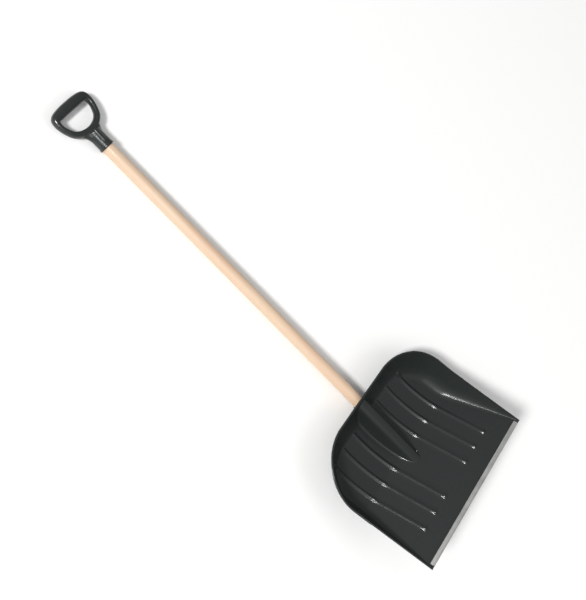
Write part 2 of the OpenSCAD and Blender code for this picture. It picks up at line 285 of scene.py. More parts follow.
def makeBlackPlastic(look):
    made, tree, shader, spot = newMaterial("blackMouldedPolypropylene")
    cloud = addNode(tree, "ShaderNodeTexNoise", {
        "Vector": spot, "Scale": 1 / 120, "Detail": 3, "Roughness": 0.6}).outputs[0]
    stretched = addNode(tree, "ShaderNodeMapping", {
        "Vector": spot,
        "Rotation": (0, 0, 0.06),
        "Scale": (1 / look["scuffWidth"], 1 / look["scuffLength"], 1 / look["scuffLength"])})
    streak = addNode(tree, "ShaderNodeTexNoise", {
        "Vector": stretched.outputs[0], "Scale": 1.0, "Detail": 2, "Roughness": 0.5}).outputs[0]
    scuff = addNode(tree, "ShaderNodeMapRange", {
        "Value": streak, "From Min": 0.66, "From Max": 0.80}, interpolation_type="SMOOTHSTEP").outputs[0]
    patch = addNode(tree, "ShaderNodeMapRange", {
        "Value": cloud, "From Min": 0.45, "From Max": 0.65}).outputs[0]
    worn = addNode(tree, "ShaderNodeMath", {0: scuff, 1: patch}, operation="MULTIPLY").outputs[0]
    wornSoft = addNode(tree, "ShaderNodeMath", {0: worn, 1: 0.5}, operation="MULTIPLY").outputs[0]
    colour = addNode(tree, "ShaderNodeMix", {
        0: wornSoft, 6: linear(look["body"]), 7: linear(look["worn"])}, data_type="RGBA").outputs[2]
    low, high = look["roughness"]
    base = addNode(tree, "ShaderNodeMapRange", {
        "Value": cloud, "From Min": 0.3, "From Max": 0.7, "To Min": low, "To Max": high}).outputs[0]
    rough = addNode(tree, "ShaderNodeMath", {0: wornSoft, 1: 0.14, 2: base},
                    operation="MULTIPLY_ADD").outputs[0]
    peel = addNode(tree, "ShaderNodeTexNoise", {
        "Vector": spot, "Scale": 1 / look["peelSize"], "Detail": 2}).outputs[0]
    relief = addNode(tree, "ShaderNodeBump", {
        "Height": peel, "Strength": 0.35, "Distance": look["peelDepth"] * mm}).outputs[0]
    feed(tree, shader, {
        "Base Color": colour, "Roughness": rough, "Normal": relief,
        "IOR": 1.49, "Specular IOR Level": look["specularLevel"]})
    return made


# Sanded spruce under a thin clear coat. The eye gets pale cream wood with
# fine straight grain along the shaft, broad pinkish and yellowish bands, and
# a small knot here and there.
softwood = {
    "earlywood": "#dac3aa",
    "latewood": "#c8a482",
    "blush": "#d2ae93",
    "knot": "#a9764c",
    "ringWidth": 3.2,
    "pithDepth": 46.0,  # from the shaft axis to the middle of the tree
    "fibreLength": 90.0,
    "knotSpacing": 260.0,
    "roughness": (0.42, 0.55),
}


def makeSoftwood(look):
    made, tree, shader, spot = newMaterial("sandedSpruce")
    # Growth rings: distance from the pith, which wanders slowly along the shaft
    drift = addNode(tree, "ShaderNodeTexNoise", {
        "Vector": addNode(tree, "ShaderNodeMapping", {
            "Vector": spot, "Scale": (1 / 40, 1 / 420, 1 / 40)}).outputs[0],
        "Scale": 1.0, "Detail": 2}).outputs["Color"]
    swing = addNode(tree, "ShaderNodeVectorMath", {
        0: drift, 1: (14, 0, 14), 2: (-7 - 0.55 * look["pithDepth"], 0, -7 + 0.8 * look["pithDepth"])},
        operation="MULTIPLY_ADD").outputs[0]
    across = addNode(tree, "ShaderNodeVectorMath", {0: spot, 1: swing}, operation="ADD").outputs[0]
    flat = addNode(tree, "ShaderNodeVectorMath", {0: across, 1: (1, 0, 1)}, operation="MULTIPLY").outputs[0]
    reach = addNode(tree, "ShaderNodeVectorMath", {0: flat}, operation="LENGTH").outputs["Value"]
    turns = addNode(tree, "ShaderNodeMath", {0: reach, 1: look["ringWidth"]}, operation="DIVIDE").outputs[0]
    season = addNode(tree, "ShaderNodeMath", {0: turns}, operation="FRACT").outputs[0]
    late = addNode(tree, "ShaderNodeValToRGB", {"Fac": season}, stops=[
        (0.0, "#000000"), (0.55, "#303030"), (0.86, "#c8c8c8"), (0.97, "#606060"), (1.0, "#000000")])
    # Fibres: fine streaks many times longer than wide
    fibre = addNode(tree, "ShaderNodeTexNoise", {
        "Vector": addNode(tree, "ShaderNodeMapping", {
            "Vector": spot, "Scale": (1 / 1.1, 1 / look["fibreLength"], 1 / 1.1)}).outputs[0],
        "Scale": 1.0, "Detail": 3, "Roughness": 0.6}).outputs[0]
    fibreShade = addNode(tree, "ShaderNodeMapRange", {
        "Value": fibre, "From Min": 0.35, "From Max": 0.75, "To Min": 0.0, "To Max": 0.45}).outputs[0]
    grain = addNode(tree, "ShaderNodeMath", {0: late.outputs[0], 1: 0.55, 2: fibreShade},
                    operation="MULTIPLY_ADD", use_clamp=True).outputs[0]
    wood = addNode(tree, "ShaderNodeMix", {
        0: grain, 6: linear(look["earlywood"]), 7: linear(look["latewood"])}, data_type="RGBA").outputs[2]
    # Broad warm bands
    band = addNode(tree, "ShaderNodeTexNoise", {
        "Vector": addNode(tree, "ShaderNodeMapping", {
            "Vector": spot, "Location": (3, 1, 5), "Scale": (1 / 22, 1 / 300, 1 / 22)}).outputs[0],
        "Scale": 1.0, "Detail": 1}).outputs[0]
    bandShade = addNode(tree, "ShaderNodeMapRange", {
        "Value": band, "From Min": 0.42, "From Max": 0.68, "To Max": 0.7}).outputs[0]
    warm = addNode(tree, "ShaderNodeMix", {
        0: bandShade, 6: wood, 7: linear(look["blush"])}, data_type="RGBA").outputs[2]
    # Knots: a cell here and there keeps its dark heart
    cell = addNode(tree, "ShaderNodeTexVoronoi", {
        "Vector": addNode(tree, "ShaderNodeMapping", {
            "Vector": spot, "Location": (0.31, 0.12, 0.4),
            "Scale": (1 / 60, 1 / look["knotSpacing"], 1 / 60)}).outputs[0],
        "Scale": 1.0, "Randomness": 1.0})
    heart = addNode(tree, "ShaderNodeMapRange", {
        "Value": cell.outputs["Distance"], "From Min": 0.09, "From Max": 0.03},
        interpolation_type="SMOOTHSTEP").outputs[0]
    heartSoft = addNode(tree, "ShaderNodeMath", {0: heart, 1: 0.55}, operation="MULTIPLY").outputs[0]
    whole = addNode(tree, "ShaderNodeMix", {
        0: heartSoft, 6: warm, 7: linear(look["knot"])}, data_type="RGBA").outputs[2]
    low, high = look["roughness"]
    rough = addNode(tree, "ShaderNodeMapRange", {
        "Value": fibre, "From Min": 0.3, "From Max": 0.7, "To Min": low, "To Max": high}).outputs[0]
    relief = addNode(tree, "ShaderNodeBump", {
        "Height": grain, "Strength": 0.25, "Distance": 0.08 * mm}).outputs[0]
    feed(tree, shader, {
        "Base Color": whole, "Roughness": rough, "Normal": relief,
        "IOR": 1.5, "Coat Weight": 0.15, "Coat Roughness": 0.3})
    return made


# Rolled aluminium sheet, bright on its crests and grey where it has rubbed.
# The eye gets a satin strip with fine lines along its length.
rolledAluminium = {
    "clean": "#f0efec",
    "rubbed": "#bfc1c0",
    "lineWidth": 1.2,  # rolling lines are finer than 0.1 mm, drawn coarser so that they show
    "lineLength": 160.0,
    "roughness": (0.30, 0.44),
}

# Steel with bright zinc plating: a cool grey that mottles slightly.
zincSteel = {
    "clean": "#b9bec2",
    "rubbed": "#878c90",
    "lineWidth": 1.5,
    "lineLength": 1.5,
    "roughness": (0.28, 0.42),
}


def makeMetal(name, look):
    made, tree, shader, spot = newMaterial(name)
    drawn = addNode(tree, "ShaderNodeMapping", {
        "Vector": spot,
        "Scale": (1 / look["lineLength"], 1 / look["lineWidth"], 1 / look["lineWidth"])})
    line = addNode(tree, "ShaderNodeTexNoise", {
        "Vector": drawn.outputs[0], "Scale": 1.0, "Detail": 3, "Roughness": 0.55}).outputs[0]
    cloud = addNode(tree, "ShaderNodeTexNoise", {
        "Vector": spot, "Scale": 1 / 35, "Detail": 2}).outputs[0]
    both = addNode(tree, "ShaderNodeMath", {0: line, 1: cloud}, operation="ADD").outputs[0]
    wear = addNode(tree, "ShaderNodeMapRange", {
        "Value": both, "From Min": 0.75, "From Max": 1.25}).outputs[0]
    colour = addNode(tree, "ShaderNodeMix", {
        0: wear, 6: linear(look["clean"]), 7: linear(look["rubbed"])}, data_type="RGBA").outputs[2]
    low, high = look["roughness"]
    rough = addNode(tree, "ShaderNodeMapRange", {
        "Value": both, "From Min": 0.7, "From Max": 1.3, "To Min": low, "To Max": high}).outputs[0]
    relief = addNode(tree, "ShaderNodeBump", {
        "Height": line, "Strength": 0.3, "Distance": 0.05 * mm}).outputs[0]
    feed(tree, shader, {"Base Color": colour, "Roughness": rough, "Normal": relief, "Metallic": 1.0})
    return made


plastic = makeBlackPlastic(blackPlastic)
wood = makeSoftwood(softwood)
aluminium = makeMetal("rolledAluminium", rolledAluminium)
zinc = makeMetal("zincPlatedSteel", zincSteel)
print("materials ready")


socket = {
    "pastBend": 42.0,
    "endWall": 6.0,
    "rootFillet": 7.0,
    "draft": 8.0,
    "crestSoftness": 2.6,
    "collar": 9.0,  # from the back edge to the collar round the shaft
}
ribs = {
    "Count": 3,
    "First": 58.2,
    "Pitch": 52.2,
    "Width": 16.0,
    "Height": 4.0,
    "Crown": 0.0,  # share of the half width that is flat
    "Rear end": 131.0,  # behind the bend
    "Front height": 0.44,  # share of the height that is left on the flat front
    "Front end": 148.0,  # ahead of the bend, up the flat
}
beadShare = 0.8  # the ribs are hollow from below
edgeStrip = {
    "width": 12.0,
    "gauge": 1.2,
    "proud": 0.4,
    "tab": 12.0,
    "round": 0.35,
}
pockets = {
    "Count": 5,
    "Web": 4.0,
    "Side wall": 5.0,
    "From back": 46.0,
    "To bend": 40.0,
}
tubeEnd = bendY + socket["pastBend"] + socket["endWall"]
collarY = backIn + socket["collar"]
rebate = edgeStrip["gauge"] - edgeStrip["proud"]
tongueLength = scoop["frontLength"] - edgeStrip["width"]
stripHalf = scoop["width"] / 2 - edgeStrip["tab"]


def softMax(a, b, soft):  # the larger height, with a soft crease
    overlap = np.maximum(soft - np.abs(a - b), 0)
    return np.maximum(a, b) + overlap * overlap / (4 * soft)


def floorZ(y):
    run = np.clip(y - dishY, 0, scoop["dishRun"])
    dish = scoop["dishRadius"] - scoop["floorDrop"] - np.sqrt(scoop["dishRadius"] ** 2 - run * run)
    dish = dish + np.maximum(y - bendY, 0) * scoop["dishRun"] / dishDepth
    front = bendZ + (y - bendY) * frontSlope
    return softMax(dish, front, scoop["bendSoftness"])


def turnAt(x, y):  # 0 along the back edge, pi / 2 along the sides
    corner = np.arctan2(np.maximum(x - turnX, 0), np.maximum(turnY - y, 1e-9))
    return np.where(y >= turnY, math.pi / 2, np.where(x <= turnX, 0.0, corner))


def insetAt(x, y):  # distance in from the rim, seen from above
    corner = turnRadius - np.hypot(x - turnX, turnY - y)
    return np.where(y >= turnY, halfIn - x, np.where(x <= turnX, y - backIn, corner))


def rimZ(x, y):
    level = np.sin(np.minimum(math.pi / 2, scoop["riseTurn"] * turnAt(x, y)))
    level = scoop["backRise"] + (scoop["sideRise"] - scoop["backRise"]) * level
    ahead = y - bendY + scoop["kneeBack"]
    climb = scoop["sideRise"] + scoop["kneeRise"] + ahead * math.tan(math.radians(scoop["rimAngle"]))
    return softMax(level, climb, scoop["rimSoftness"])


def scoopZ(x, y):
    x = np.abs(x)
    lean = backLean + (sideLean - backLean) * turnAt(x, y) / (math.pi / 2)
    top = rimZ(x, y)
    base = floorZ(y)
    soft = np.maximum(0.5, np.minimum(scoop["crease"], 0.55 * (top - base)))
    return softMax(base, top - insetAt(x, y) / np.tan(lean), soft)


def scoopNormal(x, y, step=0.05):
    slopeX = (scoopZ(x + step, y) - scoopZ(x - step, y)) / (2 * step)
    slopeY = (scoopZ(x, y + step) - scoopZ(x, y - step)) / (2 * step)
    normal = np.stack([-slopeX, -slopeY, np.ones_like(slopeX)], axis=-1)
    return normal / np.linalg.norm(normal, axis=-1, keepdims=True)


def drawnIn(x, y, hold=0.55):  # plain rows and columns, drawn in round the rear corners
    p = (np.abs(x) - turnX) / turnRadius
    q = (turnY - y) / turnRadius
    m = np.maximum(p, q)
    share = (m - hold) / (1 - hold)
    pull = 1 + share * (m / np.maximum(np.hypot(p, q), 1e-9) - 1)
    inside = (p > 0) & (q > 0) & (m > hold)
    return (np.where(inside, np.sign(x) * (turnX + turnRadius * p * pull), x),
            np.where(inside, turnY - turnRadius * q * pull, y))


def tunnelZ(x):  # half round over the shaft, then drafted sides
    draft = math.radians(socket["draft"])
    split = tubeRadius * math.cos(draft)
    x = np.abs(x)
    crown = np.sqrt(tubeRadius ** 2 - np.minimum(x, split) ** 2)
    side = tubeRadius * math.sin(draft) - (x - split) / math.tan(draft)
    return np.where(x < split, crown, side)


def spread(*runs):  # joined runs of (from, to, spacing)
    out = []
    for start, end, spacing in runs:
        count = max(1, round((end - start) / spacing))
        out.extend(start + (end - start) * k / count for k in range(count))
    return out + [runs[-1][1]]


# Rows stand close where the shape changes: back wall, rib ends, bend, nose, strip
ribBack = bendY - ribs["Rear end"]
ribReach = ribs["Width"] / 2
ribFront = bendY + ribs["Front end"] * math.cos(frontAngle)
wallFoot = tool["bareShaft"] + 31  # where the back wall has run out into the heel
noseBack, noseFront = bendY + 24, bendY + 42  # the tunnel's nose sinks into the front between them
rowY = np.array(
    spread((backIn, collarY - 0.5, 1.2), (collarY - 0.5, collarY - 0.01, 1),
           (collarY + 0.01, wallFoot, 1.1), (wallFoot, ribBack - ribReach - 1, 2.4),
           (ribBack - ribReach - 1, ribBack + 1, 0.8), (ribBack + 1, dishY, 3.5),
           (dishY, bendY - 6, 4), (bendY - 6, bendY + 6, 1.2), (bendY + 6, noseBack, 4),
           (noseBack, noseFront, 0.9), (noseFront, tubeEnd - 0.01, 3),
           (tubeEnd + 0.01, ribFront - 2, 5.5), (ribFront - 2, ribFront + 6, 0.8),
           (ribFront + 6, bendY + (tongueLength - 0.02) * math.cos(frontAngle), 4),
           (bendY + (tongueLength + 0.02) * math.cos(frontAngle), frontY, 3)))
rowY = np.unique(np.round(rowY, 4))
rowCount = len(rowY)

# Columns over the tunnel follow its profile, so they narrow with the nose
baseAt = scoopZ(np.full(rowCount, tubeRadius + 1), rowY)
draft = math.radians(socket["draft"])
splitX = tubeRadius * math.cos(draft)
splitZ = tubeRadius * math.sin(draft)
onCrown = np.clip(baseAt, None, tubeRadius - 0.02)
rootX = np.where(baseAt < splitZ, splitX + (splitZ - baseAt) * math.tan(draft),
                 np.sqrt(np.maximum(tubeRadius ** 2 - onCrown ** 2, 0.7)))
rootAngle = np.where(baseAt < splitZ, math.pi / 2 - draft, np.arcsin(np.minimum(rootX / tubeRadius, 1)))
fillet = socket["rootFillet"]
filletOut = rootX + fillet * np.tan(rootAngle / 2)
filletIn = filletOut - fillet * np.sin(rootAngle)
crownLength = tubeRadius * (math.pi / 2 - draft)
sideLength = np.maximum(filletIn - splitX, 0) / math.sin(draft)
crownReach = np.where(filletIn < splitX, tubeRadius * np.arcsin(np.clip(filletIn / tubeRadius, 0, 1)),
                      crownLength)

overCount, filletCount, gapCount = 20, 6, 4
profile = (crownReach + sideLength)[:, None] * (np.arange(overCount + 1) / overCount)[None, :]
overX = np.where(profile <= crownLength, tubeRadius * np.sin(np.minimum(profile / tubeRadius, 1.6)),
                 splitX + (profile - crownLength) * math.sin(draft))
sweep = rootAngle[:, None] * (1 - np.arange(1, filletCount + 1) / filletCount)[None, :]
filletX = filletOut[:, None] - fillet * np.sin(sweep)
ribInner = ribs["First"] - ribReach
gapShares = np.arange(1, gapCount + 1) / gapCount
gapX = filletOut[:, None] + (ribInner - filletOut[:, None]) * gapShares[None, :]
ribSide = [1.0, 1.9, 2.7, 3.5, 4.3, 5.1, 6]  # sixths of the half width, from the crest out
ribOffsets = np.array([-v for v in ribSide[::-1]] + [0] + ribSide) * ribReach / 6
outward = []
for k in range(ribs["Count"]):
    centre = ribs["First"] + k * ribs["Pitch"]
    outward.extend(centre + ribOffsets[(1 if k == 0 else 0):])
    if k < ribs["Count"] - 1:
        outward.extend(centre + ribReach + (ribs["Pitch"] - ribs["Width"]) * j / 4 for j in (1, 2, 3))
ribOuter = outward[-1]
wallCount = 26
wallColumns = [ribOuter + (halfIn - ribOuter) * math.sin(math.pi / 2 * k / wallCount)
               for k in range(1, wallCount + 1)]
wallColumns = sorted(wallColumns + [stripHalf - 0.02, stripHalf + 0.02])
outward.extend(wallColumns)
outward = np.array(outward)
halfX = np.concatenate([overX, filletX, gapX, np.tile(outward, (rowCount, 1))], axis=1)
gridX = np.concatenate([-halfX[:, :0:-1], halfX], axis=1)
gridY = np.tile(rowY[:, None], (1, gridX.shape[1]))
columnCount = gridX.shape[1]

# Underside: the columns under the shaft are square to it instead
underCount = 18
underIn = tubeRadius * np.sin(np.linspace(0, math.pi / 2, underCount))
underOut = np.linspace(tubeRadius + 0.02, ribInner, overCount + filletCount + gapCount + 1 - underCount)
underHalf = np.tile(np.concatenate([underIn, underOut, outward]), (rowCount, 1))
underX = np.concatenate([-underHalf[:, :0:-1], underHalf], axis=1)

# Inner face
innerX, innerY = drawnIn(gridX, gridY)
innerZ = scoopZ(innerX, innerY)
innerNormal = scoopNormal(innerX, innerY)
alongX = np.abs(innerX)
rise = fillet - np.sqrt(np.maximum(fillet ** 2 - (filletOut[:, None] - alongX) ** 2, 0))
crestSoft = np.maximum(0.02, socket["crestSoftness"] * (1 - alongX / tubeRadius))
overShaft = softMax(innerZ, tunnelZ(innerX), crestSoft)
innerZ = np.where(alongX < filletIn[:, None] - 1e-6, overShaft,
                  np.where(alongX < filletOut[:, None], innerZ + rise, innerZ))
inStrip = ((innerY - bendY) / math.cos(frontAngle) > tongueLength) & (alongX < stripHalf)
frontNormal = np.array([0, -math.sin(frontAngle), math.cos(frontAngle)])
upFront = np.array([0, math.cos(frontAngle), math.sin(frontAngle)])
lastRow = np.zeros_like(innerX)
lastRow[-1, :] = 1
stepIn = rebate * inStrip[..., None] * (frontNormal + upFront * lastRow[..., None])
inner = np.stack([innerX, innerY, innerZ], axis=-1) - stepIn

# Outer face: one wall below, thicker along the rim, and round under the shaft
outerX, outerY = drawnIn(underX, gridY)
outerZ = scoopZ(outerX, outerY)
outerNormal = scoopNormal(outerX, outerY)
band = np.clip(1 - insetAt(np.abs(outerX), outerY) / scoop["rimBand"], 0, 1)
band = band * np.where(outerY > bendY, scoop["frontBand"], 1.0)
thick = scoop["wall"] + (scoop["rimWall"] - scoop["wall"]) * band * band * (3 - 2 * band)
outer = np.stack([outerX, outerY, outerZ], axis=-1) - outerNormal * thick[..., None]
tubeGone = bendY + 62  # the tube has ended and the wall is plain again
underShaft = (np.abs(underX) <= tubeRadius + 0.03) & (gridY > collarY - 0.02) & (gridY < tubeGone)
straightDown = outerZ - thick / outerNormal[..., 2]
tubeBelow = -np.sqrt(np.maximum(tubeRadius ** 2 - outerX ** 2, 0))
onTube = (np.abs(underX) <= tubeRadius + 0.001) & (gridY > collarY) & (gridY < tubeEnd)
straightDown = np.where(onTube, np.minimum(straightDown, tubeBelow), straightDown)
outer = np.where(underShaft[..., None], np.stack([outerX, outerY, straightDown], axis=-1), outer)
inStripUnder = ((outerY - bendY) / math.cos(frontAngle) > tongueLength) & (np.abs(outerX) < stripHalf)
outer = outer + rebate * inStripUnder[..., None] * (frontNormal - upFront * lastRow[..., None])
heelPlane = (-lieRise - outer[..., 1] * math.sin(lieTilt)) / math.cos(lieTilt)
outer[..., 2] = np.maximum(outer[..., 2], heelPlane)


def ringOf(grid):  # the border of a grid, once round
    return np.concatenate([grid[0, :], grid[1:, -1], grid[-1, -2::-1], grid[-2:0:-1, 0]])


def innerRing(grid):  # the next loop in from that border, vertex for vertex
    rows, columns = grid.shape[:2]
    r = np.clip(ringOf(np.tile(np.arange(rows)[:, None], (1, columns))), 1, rows - 2)
    c = np.clip(ringOf(np.tile(np.arange(columns)[None, :], (rows, 1))), 1, columns - 2)
    return grid[r, c]


# The rim is rounded in four steps on each of its two edges
border = ringOf(inner)
outward3 = border - innerRing(inner)
outward3 /= np.linalg.norm(outward3, axis=1, keepdims=True)
across3 = ringOf(outer) - border
gauge = np.linalg.norm(across3, axis=1, keepdims=True)
across3 = across3 / gauge
rounding = np.minimum(scoop["rimRound"], 0.42 * gauge)
roundSteps = np.radians([0, 22.5, 45, 67.5, 90])
loops = []
for a in roundSteps:
    loops.append(border - outward3 * rounding * (1 - math.sin(a)) + across3 * rounding * (1 - math.cos(a)))
for a in roundSteps[::-1]:
    loops.append(border + across3 * (gauge - rounding * (1 - math.cos(a)))
                 - outward3 * rounding * (1 - math.sin(a)))

ids = np.arange(rowCount * columnCount).reshape(rowCount, columnCount)
ring = ringOf(ids)
inner.reshape(-1, 3)[ring] = loops[0]
outer.reshape(-1, 3)[ring] = loops[-1]
below = rowCount * columnCount
points = np.concatenate([inner.reshape(-1, 3), outer.reshape(-1, 3)] + loops[1:-1])
a, b, c, d = ids[:-1, :-1], ids[:-1, 1:], ids[1:, 1:], ids[1:, :-1]
skin = np.stack([a, b, c, d], axis=-1).reshape(-1, 4)
shellFaces = [skin, skin[:, ::-1] + below]
loopIds = [ring] + [2 * below + k * len(ring) + np.arange(len(ring)) for k in range(len(loops) - 2)]
loopIds.append(ring + below)
for near, far in zip(loopIds[:-1], loopIds[1:]):
    shellFaces.append(np.stack([near, far, np.roll(far, -1), np.roll(near, -1)], axis=-1))
faces = np.concatenate(shellFaces).tolist()

bladeMesh = bpy.data.meshes.new("scoopBlade")
bladeMesh.from_pydata(points.tolist(), [], faces)
bladeMesh.materials.append(plastic)
blade = linkObject("scoopBlade", bladeMesh)

# What the rib tree reads: place across and along the blade, and the way to lift
lift = np.zeros((len(points), 3))
lift[:below] = innerNormal.reshape(-1, 3)
lift[below:2 * below] = outerNormal.reshape(-1, 3) * beadShare
placeY = points[:, 1].copy()
placeY[below:2 * below] = outerY.reshape(-1)
along = np.where(placeY > bendY, (placeY - bendY) / math.cos(frontAngle), placeY - bendY)
for name, values in (("ribAcross", np.abs(points[:, 0])), ("ribAlong", along)):
    attribute = bladeMesh.attributes.new(name, "FLOAT", "POINT")
    attribute.data.foreach_set("value", values.astype(np.float32))
attribute = bladeMesh.attributes.new("ribLift", "FLOAT_VECTOR", "POINT")
attribute.data.foreach_set("vector", lift.astype(np.float32).ravel())

tree, given, out = newTree("ribsOverSurface", {
    "Count": "Int", "First": "Float", "Pitch": "Float", "Width": "Float", "Height": "Float",
    "Crown": "Float", "Rear end": "Float", "Front end": "Float", "Front height": "Float",
    "Material": "Material"})
for name, kind in (("ribAcross", "FLOAT"), ("ribAlong", "FLOAT"), ("ribLift", "FLOAT_VECTOR")):
    given[name] = addNode(tree, "GeometryNodeInputNamedAttribute", {"Name": name}, data_type=kind).outputs[0]
workOut(tree, given, [
    ("fromFirst", "SUBTRACT", "ribAcross", "First"),
    ("inPitches", "DIVIDE", "fromFirst", "Pitch"),
    ("nearest", "ROUND", "inPitches"),
    ("notBefore", "MAXIMUM", "nearest", 0.0),
    ("lastRib", "SUBTRACT", "Count", 1.0),
    ("rib", "MINIMUM", "notBefore", "lastRib"),
    ("ribPlace", "MULTIPLY", "rib", "Pitch"),
    ("offAxis", "SUBTRACT", "fromFirst", "ribPlace"),
    ("pastRear", "ADD", "ribAlong", "Rear end"),
    ("behind", "MULTIPLY", "pastRear", -1.0),
    ("ahead", "SUBTRACT", "ribAlong", "Front end"),
    ("past", "MAXIMUM", "behind", "ahead"),
    ("beyond", "MAXIMUM", "past", 0.0)])
away = addNode(tree, "ShaderNodeCombineXYZ", {0: given["offAxis"], 1: given["beyond"]}).outputs[0]
given["distance"] = addNode(tree, "ShaderNodeVectorMath", {0: away}, operation="LENGTH").outputs["Value"]
workOut(tree, given, [
    ("halfWidth", "MULTIPLY", "Width", 0.5),
    ("shareOut", "DIVIDE", "distance", "halfWidth")])
given["swell"] = addNode(tree, "ShaderNodeMapRange", {
    "Value": given["shareOut"], "From Min": 1.0, "From Max": given["Crown"],
    "To Min": 0.0, "To Max": given["Height"]}, interpolation_type="SMOOTHSTEP").outputs[0]
# Lower ahead of the bend, and full again at the front end
given["dip"] = addNode(tree, "ShaderNodeMapRange", {
    "Value": given["ribAlong"], "From Min": 2.0, "From Max": 14.0,
    "To Min": 1.0, "To Max": given["Front height"]}, interpolation_type="SMOOTHSTEP").outputs[0]
given["tipFull"] = addNode(tree, "ShaderNodeMapRange", {
    "Value": given["ahead"], "From Min": -14.0, "From Max": -3.0},
    interpolation_type="SMOOTHSTEP").outputs[0]
workOut(tree, given, [
    ("share", "MAXIMUM", "dip", "tipFull"),
    ("sized", "MULTIPLY", "swell", "share")])
raised = addNode(tree, "ShaderNodeVectorMath", {0: given["ribLift"], "Scale": given["sized"]},
                 operation="SCALE").outputs[0]
moved = addNode(tree, "GeometryNodeSetPosition", {
    "Geometry": given["Geometry"], "Offset": raised}).outputs[0]
closeTree(tree, moved, given["Material"], out)
runTree(blade, tree, {**ribs, "Material": plastic})
for name in ("ribAcross", "ribAlong", "ribLift"):
    blade.data.attributes.remove(blade.data.attributes[name])
weld(blade.data)
print("blade shell:", rowCount, "rows,", columnCount, "columns")

# Pockets cored out between the webs that carry the shaft
tree, given, out = newTree("pocketRow", {
    "Count": "Int", "Web": "Float", "Size": "Vector", "Start": "Vector", "Material": "Material"})
box = addNode(tree, "GeometryNodeMeshCube", {"Size": given["Size"]}).outputs[0]
given["depth"] = addNode(tree, "ShaderNodeSeparateXYZ", {0: given["Size"]}).outputs[1]
workOut(tree, given, [("step", "ADD", "depth", "Web")])
stepVector = addNode(tree, "ShaderNodeCombineXYZ", {1: given["step"]}).outputs[0]
line = addNode(tree, "GeometryNodeMeshLine", {
    "Count": given["Count"], "Start Location": given["Start"], "Offset": stepVector},
    mode="OFFSET").outputs[0]
placed = addNode(tree, "GeometryNodeInstanceOnPoints", {"Points": line, "Instance": box}).outputs[0]
closeTree(tree, placed, given["Material"], out)
pocketStart = backIn + pockets["From back"]
pocketEnd = bendY - pockets["To bend"]
pocketLength = (pocketEnd - pocketStart + pockets["Web"]) / pockets["Count"] - pockets["Web"]
pocketDepth = 2 * scoop["floorDrop"] - 2
pocketCutter = treePiece("pocketCutter", tree, {
    "Count": pockets["Count"], "Web": pockets["Web"],
    "Size": (2 * (tubeRadius - pockets["Side wall"]), pocketLength, pocketDepth),
    "Start": (0, pocketStart + pocketLength / 2, -2 - pocketDepth / 2)}, plastic)

screws = {
    "Head": 9.5,
    "Shank": 5.0,
    "Length": 24.0,
    "Pitch": 2.2,
    "Recess": 5.9,
    "faceOff": 0.3,
    "bladeScrewPastBend": 16.0,
    "gripScrewDepth": 23.0,
}
sink = (screws["Head"] - screws["Shank"]) / 2


def turnedCutter(name, stations, place, sides=48):  # rings of (z, radius) about a screw's axis
    piece = tubePiece(name, stations, sides)
    piece.data.transform(Matrix.Translation(place) @ Matrix.Rotation(math.pi / 2, 4, "X"))
    return piece


def screwPlace(y):
    return Vector((0, y, -tubeRadius + screws["faceOff"]))


def screwHole(name, y):
    head = screws["Head"] / 2 + 0.1
    shank = screws["Shank"] / 2 + 0.05
    return turnedCutter(name, [(-4, head), (0, head), (sink, shank + 0.05),
                               (screws["Length"] + 0.5, shank)], screwPlace(y))


bore = tubePiece("boreCutter", [(backIn - 20, boreRadius), (bendY + socket["pastBend"], boreRadius)], 128)
bladeScrewY = bendY + screws["bladeScrewPastBend"]
cut(blade, bore, pocketCutter, screwHole("bladeScrewHole", bladeScrewY))
finish(blade, "blade")


def makeStrip():
    outerT = scoop["wall"] + 2 * edgeStrip["proud"]
    gauge, soft = edgeStrip["gauge"], edgeStrip["round"]
    back = tongueLength + tool["play"]
    nose = scoop["frontLength"] + edgeStrip["proud"]
    middle = -scoop["wall"] / 2
    rows = []  # the folded section, as (up the slope, above the face)
    quarter = np.radians([0, 30, 60, 90])
    for side in (1, -1):
        arc = [(back + soft * (1 - math.sin(a)), middle + side * (outerT / 2 - soft * (1 - math.cos(a))))
               for a in quarter]
        inside = [(back, middle + side * (outerT / 2 - gauge))]
        rows.append(inside + arc[::-1])
    turn = np.radians(np.linspace(82, -82, 13))
    fold = [(nose - outerT / 2 + outerT / 2 * math.cos(a), middle + outerT / 2 * math.sin(a)) for a in turn]
    innerHalf = outerT / 2 - gauge
    innerTurn = [(nose - gauge, middle - innerHalf), (nose - gauge, middle + innerHalf)]
    section = rows[0] + fold + rows[1][::-1] + innerTurn
    stations = np.linspace(-1, 1, 65) * (stripHalf - tool["play"])
    points = []
    for x in stations:
        for s, n in section:
            points.append((x, bendY + s * math.cos(frontAngle) - n * math.sin(frontAngle),
                           bendZ + s * math.sin(frontAngle) + n * math.cos(frontAngle)))
    return newPiece("wearStrip", points, tubeFaces(len(stations), len(section)), aluminium)


strip = makeStrip()
finish(strip, "wear_edge")


